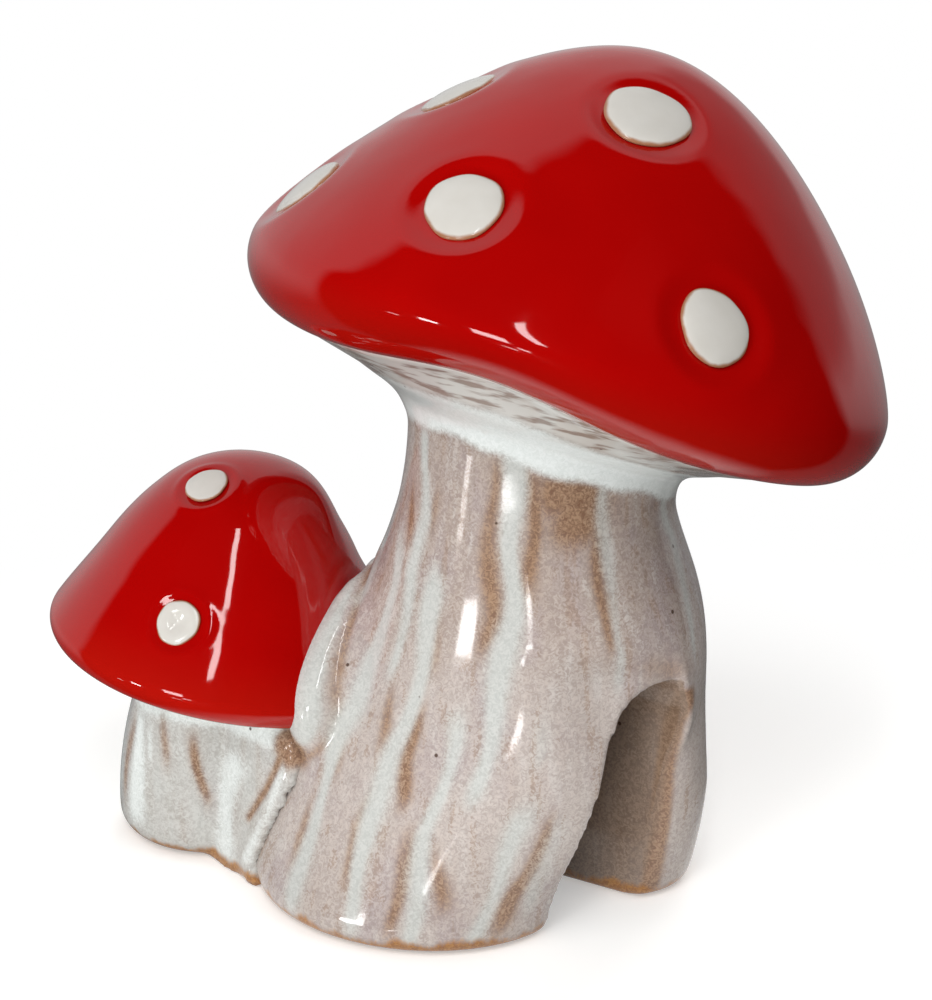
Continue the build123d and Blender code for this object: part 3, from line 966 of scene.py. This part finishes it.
# %% Layers of the stem glaze
CURDLE_DEPTH = 0.03
CURDLE_STRENGTH = 0.1
LAYERS = (
    # Field, drift, curdle, from, to, most, grain, dark and light
    ("pale", 0.9, 0.0, 0.2, 1.5, 1.0, "grain", "#aea39d", "#c4bbb5"),
    ("patch", 0.3, 0.0, 0.62, 0.85, 0.55, "grain", "#9c8f90", "#b4a8a7"),
    ("smear", 0.0, 0.35, 0.72, 0.95, 0.55, "grain", "#c0bab5", "#d0ccc8"),
    ("smear", 0.0, 0.35, 0.62, 0.48, 0.4, "grain", "#8f7460", "#a98c74"),
    ("tan", 0.7, 0.5, 0.5, 1.5, 0.92, "grain", "#7d5d48", "#a48468"),
    # Painted shade, partly brown clay: dark inside the slot and under the back of the cap
    ("bare_clay_and_painted_shade", 0.3, 0.3, 0.4, 1.2, 0.85, "grain", "#6f5a49", "#8b7461"),
    ("brushed", 0.0, 0.0, 0.0, 1.0, 1.0, "brush", "#9b8c83", "#d8d7d2"),
    ("pooled", 0.6, 0.5, 0.6, 1.5, 0.92, "grain", "#babdb9", "#c8cac6"),
    ("band", 0.4, 0.4, 0.6, 1.3, 1.0, "grain", "#dee3e0", "#e8ecea"),
    ("foot", 0.8, 0.2, 1.0, 1.25, 0.95, "grain", "#8f5c28", "#b07a3c"),
    ("pinhole", 0.0, 0.0, 0.15, 0.5, 0.9, "grain", "#4d372c", "#4d372c"),
)
inputs = {0: field["grain"], 6: colour("#a09189"), 7: colour("#b8aba2")}
cover = add_node(tree, "ShaderNodeMix", inputs, data_type="RGBA").outputs[2]
for name, drift, curdle, low, high, most, grain, dark, light in LAYERS:
    inputs = {0: field["drift"], 1: drift, 2: field[name]}
    swayed = add_node(tree, "ShaderNodeMath", inputs, operation="MULTIPLY_ADD").outputs[0]
    inputs = {0: field["curdle"], 1: curdle, 2: swayed}
    frayed = add_node(tree, "ShaderNodeMath", inputs, operation="MULTIPLY_ADD").outputs[0]
    inputs = {"Value": frayed, "From Min": low, "From Max": high, "To Max": most}
    share = add_node(tree, "ShaderNodeMapRange", inputs, interpolation_type="SMOOTHSTEP").outputs[0]
    inputs = {0: field[grain], 6: colour(dark), 7: colour(light)}
    tint = add_node(tree, "ShaderNodeMix", inputs, data_type="RGBA").outputs[2]
    inputs = {0: share, 6: cover, 7: tint}
    cover = add_node(tree, "ShaderNodeMix", inputs, data_type="RGBA").outputs[2]
inputs = {"Height": field["curdle"], "Strength": CURDLE_STRENGTH, "Distance": CURDLE_DEPTH * MM}
bump = add_node(tree, "ShaderNodeBump", inputs).outputs[0]
tree.links.new(cover, shader.inputs["Base Color"])
tree.links.new(bump, shader.inputs["Normal"])
for piece in (large_stem, small_stem):
    piece.data.materials.clear()
    piece.data.materials.append(stem_glaze)
print("stem glaze layers:", len(LAYERS))

# %% [markdown]
# ## Tie every piece to the frame
# Each finished piece rides on the ornament's one body and stands for one CAD node, which is then
# hidden.

# %% Replace the nodes
stand_for(large_stem, "large_stem")
stand_for(large_cap, "large_cap")
stand_for(small_stem, "small_stem")
stand_for(small_cap, "small_cap")
for node, piece in dots.items():
    stand_for(piece, node)

# %% [markdown]
# ## Studio
# The ornament stands on a small round pale table. To the camera, and in reflections, the table
# glows a little, and its plain coat keeps the ornament's shadow. Towards its edge it fades into
# the white round about for the camera, and goes clear for all other rays, in reflections already
# near the foot.

# %% Table top
TABLE_RADIUS = 0.12
FADE_FROM = 0.05
FADE_TO = TABLE_RADIUS - 0.01
MIRROR_FADE = 1.2
TABLE_GLOW = 0.34
TABLE_COAT = "#eeeeec"
bpy.ops.object.select_all(action="DESELECT")
bpy.ops.mesh.primitive_circle_add(vertices=128, radius=TABLE_RADIUS, fill_type="NGON")
floor = bpy.context.object
floor.name = "studio_table"
table_paint = bpy.data.materials.new("studio_table_paint")
table_paint.use_nodes = True
tree = table_paint.node_tree
tree.nodes.clear()
rays = add_node(tree, "ShaderNodeLightPath", {})
seen_by = rays.outputs["Is Camera Ray"]
for kind in ("Is Glossy Ray", "Is Transmission Ray"):
    inputs = {0: seen_by, 1: rays.outputs[kind]}
    seen_by = add_node(tree, "ShaderNodeMath", inputs, operation="MAXIMUM").outputs[0]
place = add_node(tree, "ShaderNodeTexCoord", {}).outputs["Object"]
reach = add_node(tree, "ShaderNodeVectorMath", {0: place}, operation="LENGTH").outputs["Value"]
inputs = {0: rays.outputs["Is Glossy Ray"], 1: MIRROR_FADE, 2: 1.0}
sooner = add_node(tree, "ShaderNodeMath", inputs, operation="MULTIPLY_ADD").outputs[0]
reach = add_node(tree, "ShaderNodeMath", {0: reach, 1: sooner}, operation="MULTIPLY").outputs[0]
inputs = {"Value": reach, "From Min": FADE_FROM, "From Max": FADE_TO}
far = add_node(tree, "ShaderNodeMapRange", inputs, interpolation_type="SMOOTHSTEP").outputs[0]
inputs = {0: seen_by, 1: TABLE_GLOW}
lift = add_node(tree, "ShaderNodeMath", inputs, operation="MULTIPLY").outputs[0]
coat = add_node(tree, "ShaderNodeBsdfDiffuse", {"Color": colour(TABLE_COAT)})
glow = add_node(tree, "ShaderNodeEmission", {"Strength": lift})
near_look = add_node(tree, "ShaderNodeAddShader", {0: coat.outputs[0], 1: glow.outputs[0]})
white = add_node(tree, "ShaderNodeEmission", {"Strength": 1.0})
clear = add_node(tree, "ShaderNodeBsdfTransparent", {})
inputs = {0: rays.outputs["Is Camera Ray"], 1: clear.outputs[0], 2: white.outputs[0]}
far_look = add_node(tree, "ShaderNodeMixShader", inputs)
inputs = {0: far, 1: near_look.outputs[0], 2: far_look.outputs[0]}
look = add_node(tree, "ShaderNodeMixShader", inputs)
add_node(tree, "ShaderNodeOutputMaterial", {"Surface": look.outputs[0]})
floor.data.materials.append(table_paint)
floor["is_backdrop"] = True
print("table radius in mm:", round(TABLE_RADIUS / MM))

# %% [markdown]
# Behind the ornament hangs a white backdrop, and behind the camera the room is dark. A glossy
# glaze shows exactly that: pale towards its outline and deep in colour in the middle. So the world
# is white to the camera and through glass. In reflections it is white towards the backdrop, dark
# towards the room and dim below the horizon, and for plain light it is an even grey. A dark screen
# before the right of the backdrop keeps the small cap deep in colour.

# %% World
TO_BACKDROP = Vector((-0.632, 0.784, 0.0))
TO_SCREEN = Vector((0.235, 0.875, 0.423))
BACKDROP_LEVEL = 0.66
BELOW_HORIZON = 0.15
SCREEN_LEVEL = 0.45
PLAIN_LEVEL = 0.22
world = bpy.data.worlds.new("studio")
bpy.context.scene.world = world
world.use_nodes = True
tree = world.node_tree
tree.nodes.clear()
rays = add_node(tree, "ShaderNodeLightPath", {})
heading = add_node(tree, "ShaderNodeTexCoord", {}).outputs["Generated"]
inputs = {0: heading, 1: TO_BACKDROP}
towards = add_node(tree, "ShaderNodeVectorMath", inputs, operation="DOT_PRODUCT").outputs["Value"]
inputs = {0: heading, 1: TO_SCREEN}
aside = add_node(tree, "ShaderNodeVectorMath", inputs, operation="DOT_PRODUCT").outputs["Value"]
rise = add_node(tree, "ShaderNodeSeparateXYZ", {0: heading}).outputs["Z"]
backdrop = 1.0
for value, start, end, low, high in (
    (towards, 0.26, 0.38, 0.0, BACKDROP_LEVEL),
    (rise, -0.5, 0.0, BELOW_HORIZON, 1.0),
    (aside, 0.86, 0.93, 1.0, SCREEN_LEVEL),
):
    inputs = {"Value": value, "From Min": start, "From Max": end, "To Min": low, "To Max": high}
    part = add_node(tree, "ShaderNodeMapRange", inputs, interpolation_type="SMOOTHSTEP").outputs[0]
    inputs = {0: backdrop, 1: part}
    backdrop = add_node(tree, "ShaderNodeMath", inputs, operation="MULTIPLY").outputs[0]
inputs = {0: rays.outputs["Is Glossy Ray"], 2: PLAIN_LEVEL, 3: backdrop}
mirrored = add_node(tree, "ShaderNodeMix", inputs, data_type="FLOAT").outputs[0]
inputs = {0: rays.outputs["Is Camera Ray"], 1: rays.outputs["Is Transmission Ray"]}
straight = add_node(tree, "ShaderNodeMath", inputs, operation="MAXIMUM").outputs[0]
inputs = {0: straight, 2: mirrored, 3: 1.0}
level = add_node(tree, "ShaderNodeMix", inputs, data_type="FLOAT").outputs[0]
sky = add_node(tree, "ShaderNodeBackground", {"Color": (1, 1, 1, 1), "Strength": level})
add_node(tree, "ShaderNodeOutputWorld", {"Surface": sky.outputs[0]})
print("world nodes:", len(tree.nodes))

# %% [markdown]
# A broad soft key comes from above in front, a low fill lights what the cap would shade, and a
# side fill opens the right. Two more do the same for the left and the back. None of these shows in
# the glaze. The bright marks in the glaze are windows: small lamps, each placed where the surface
# mirrors it to the camera. Those for the stem are far off, where foot and neck see them in the
# same direction, so that the foot, whose slope differs, doesn't mirror them too.

# %% Lamps
TARGET = Vector((-1.7, 1.59, 45.3)) * MM
NEAR = 0.8
FAR_OFF = 10.0
KEY_LIGHT = 1.2
KEY_SPREAD = math.radians(60)
KEY_TURN = (math.radians(45), 0, math.radians(6))
LAMPS = (
    # Name, azimuth, elevation, width, height, watts, whether the glaze shows it, distance
    ("low_fill", 10, -8, 0.4, 0.2, 2.0, False, NEAR),
    ("side_fill", 95, 55, 0.3, 0.3, 0.9, False, NEAR),
    ("back_fill", -165, 25, 0.5, 0.3, 2.6, False, NEAR),
    ("left_fill", -95, 25, 0.4, 0.3, 0.8, False, NEAR),
    ("window", -21.5, -0.6, 1.38, 0.94, 94, True, FAR_OFF),
    ("narrow_window", 12.0, 1.4, 0.85, 0.52, 24, True, FAR_OFF),
    ("upper_window", 4.5, -7.7, 1.1, 0.24, 17, True, FAR_OFF),
    ("slit_window", -35, -8.5, 0.75, 0.2, 8, True, FAR_OFF),
    ("lip_window", 3, 14, 0.16, 0.16, 1.07, True, NEAR),
    ("tall_window", 28, 50, 0.055, 0.45, 1.0, True, NEAR),
)


def lamp(name, azimuth, elevation, width, height, watts, shines, distance):
    """Area lamp aimed at the ornament. Azimuth 0 is straight in front, and 90 is to the right."""
    a = math.radians(azimuth)
    e = math.radians(elevation)
    way = Vector((math.sin(a) * math.cos(e), -math.cos(a) * math.cos(e), math.sin(e)))
    data = bpy.data.lights.new(name, "AREA")
    data.shape = "RECTANGLE"
    data.size = width
    data.size_y = height
    data.energy = watts
    piece = bpy.data.objects.new(name, data)
    bpy.context.collection.objects.link(piece)
    piece.location = TARGET + way * distance
    piece.rotation_euler = way.to_track_quat("Z", "Y").to_euler()
    piece.visible_glossy = shines
    piece.visible_camera = False


key_data = bpy.data.lights.new("soft_key", "SUN")
key_data.energy = KEY_LIGHT
key_data.angle = KEY_SPREAD
key = bpy.data.objects.new("soft_key", key_data)
bpy.context.collection.objects.link(key)
key.rotation_euler = KEY_TURN
key.visible_glossy = False
for row in LAMPS:
    lamp(*row)

# %% [markdown]
# The camera looks down by 22 degrees from the right of the front, from 45 centimetres off with a
# long lens, which gives the view of the photograph.

# %% Camera
AZIMUTH = math.radians(32)
ELEVATION = math.radians(22)
DISTANCE = 450 * MM
FOCAL_LENGTH = 149.0
CLIP_START = 10 * MM
camera_data = bpy.data.cameras.new("camera")
camera_data.lens = FOCAL_LENGTH
camera_data.clip_start = CLIP_START
camera = bpy.data.objects.new("camera", camera_data)
bpy.context.collection.objects.link(camera)
ground = math.cos(ELEVATION)
way = Vector((math.sin(AZIMUTH) * ground, -math.cos(AZIMUTH) * ground, math.sin(ELEVATION)))
camera.location = TARGET + way * DISTANCE
camera.rotation_euler = way.to_track_quat("Z", "Y").to_euler()
bpy.context.scene.camera = camera
bpy.context.scene.view_settings.view_transform = "Standard"
print("camera in mm:", [round(value / MM) for value in camera.location])

# %% [markdown]
# The dressed ornament should stay in the box of the solids. Its own box is measured and printed.

# %% Sizes
visual_low, visual_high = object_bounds()
spans = [round((high - low) / MM, 1) for low, high in zip(visual_low, visual_high)]
print("visual box in mm:", spans)
